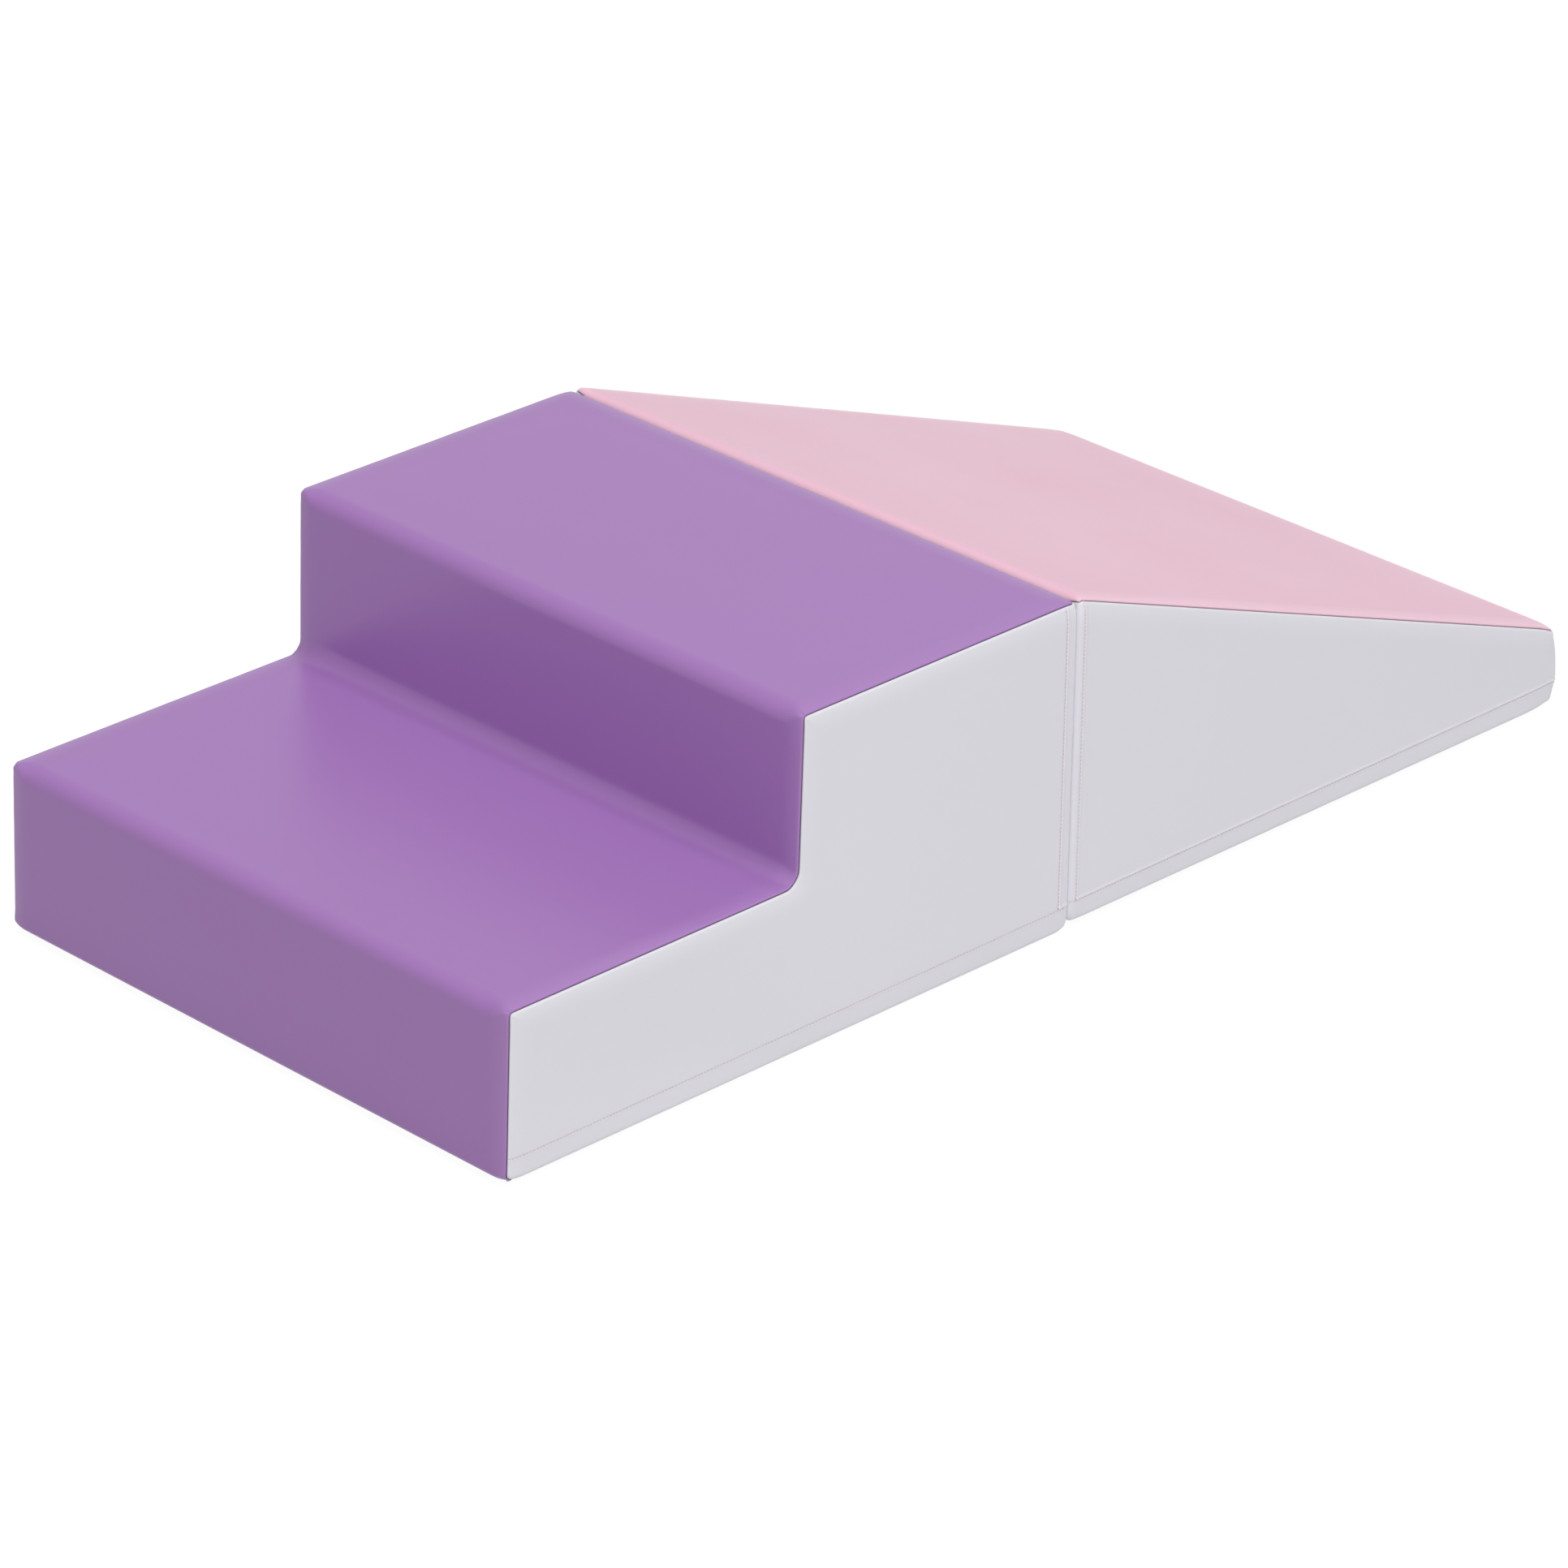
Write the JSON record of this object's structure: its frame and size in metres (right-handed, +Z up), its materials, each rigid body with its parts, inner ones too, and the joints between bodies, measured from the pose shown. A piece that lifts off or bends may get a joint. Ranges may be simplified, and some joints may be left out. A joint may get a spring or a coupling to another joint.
{
  "type": "soft play foam climber",
  "caption": "Foam step block and ramp block in stitched vinyl covers, set end to end so that a small child climbs up the treads and slides down the slope.",
  "frame": {"origin": "on the floor, under the middle of the pair's bounding box", "axes": "+X along the climb, from the front riser to the ramp's toe; +Y across the width; +Z up"},
  "size_m": [1.28, 0.6132, 0.308],
  "materials": {
    "purple_vinyl": "smooth semi-gloss coated fabric",
    "pink_vinyl": "smooth semi-gloss coated fabric",
    "grey_vinyl": "smooth semi-gloss coated fabric",
    "foam": "cut closed-cell foam",
    "base_fabric": "non-slip dotted fabric",
    "zip_tape": "woven tape",
    "zip_coil": "moulded coil",
    "zip_metal": "die-cast, satin",
    "hook_and_loop": "hook and loop pile"
  },
  "bodies": {
    "step_block": {"step_foam_lower": "foam", "step_foam_upper": "foam", "step_top_cover": "purple_vinyl", "step_side_panel_left": "grey_vinyl", "step_side_panel_right": "grey_vinyl", "step_rear_panel": "grey_vinyl", "step_base_band": "grey_vinyl", "step_base_panel": "base_fabric", "step_hook_strip_low": "hook_and_loop", "step_hook_strip_high": "hook_and_loop", "step_zip_tape_front": "zip_tape", "step_zip_tape_rear": "zip_tape", "step_zip_coil_front": "zip_coil", "step_zip_coil_rear": "zip_coil", "step_zip_stop_bottom": "zip_metal", "step_zip_stop_top": "zip_metal"},
    "ramp_block": {"ramp_foam_lower": "foam", "ramp_foam_upper": "foam", "ramp_top_cover": "pink_vinyl", "ramp_side_panel_left": "grey_vinyl", "ramp_side_panel_right": "grey_vinyl", "ramp_high_panel": "grey_vinyl", "ramp_toe_panel": "grey_vinyl", "ramp_base_band": "grey_vinyl", "ramp_base_panel": "base_fabric", "ramp_loop_strip_low": "hook_and_loop", "ramp_loop_strip_high": "hook_and_loop", "ramp_zip_tape_front": "zip_tape", "ramp_zip_tape_rear": "zip_tape", "ramp_zip_coil_front": "zip_coil", "ramp_zip_coil_rear": "zip_coil", "ramp_zip_stop_bottom": "zip_metal", "ramp_zip_stop_top": "zip_metal"},
    "step_zip_slider": {"step_zip_slider": "zip_metal"},
    "step_zip_pull": {"step_zip_pull": "zip_metal"},
    "ramp_zip_slider": {"ramp_zip_slider": "zip_metal"},
    "ramp_zip_pull": {"ramp_zip_pull": "zip_metal"}
  },
  "joints": [
    {"name": "ramp_pull_away", "type": "slide", "parent": "step_block", "child": "ramp_block", "axis": [1, 0, 0], "range_m": [0, 0.3]},
    {"name": "step_zip_run", "type": "slide", "parent": "step_block", "child": "step_zip_slider", "axis": [0, 1, 0], "range_m": [-0.46, 0]},
    {"name": "step_zip_pull_swing", "type": "hinge", "parent": "step_zip_slider", "child": "step_zip_pull", "pos_m": [-0.093, 0.235, 0.0039], "axis": [1, 0, 0], "range_deg": [0, 160]},
    {"name": "ramp_zip_run", "type": "slide", "parent": "ramp_block", "child": "ramp_zip_slider", "axis": [0, 1, 0], "range_m": [-0.46, 0]},
    {"name": "ramp_zip_pull_swing", "type": "hinge", "parent": "ramp_zip_slider", "child": "ramp_zip_pull", "pos_m": [0.1, 0.235, 0.0039], "axis": [1, 0, 0], "range_deg": [0, 160]}
  ]
}
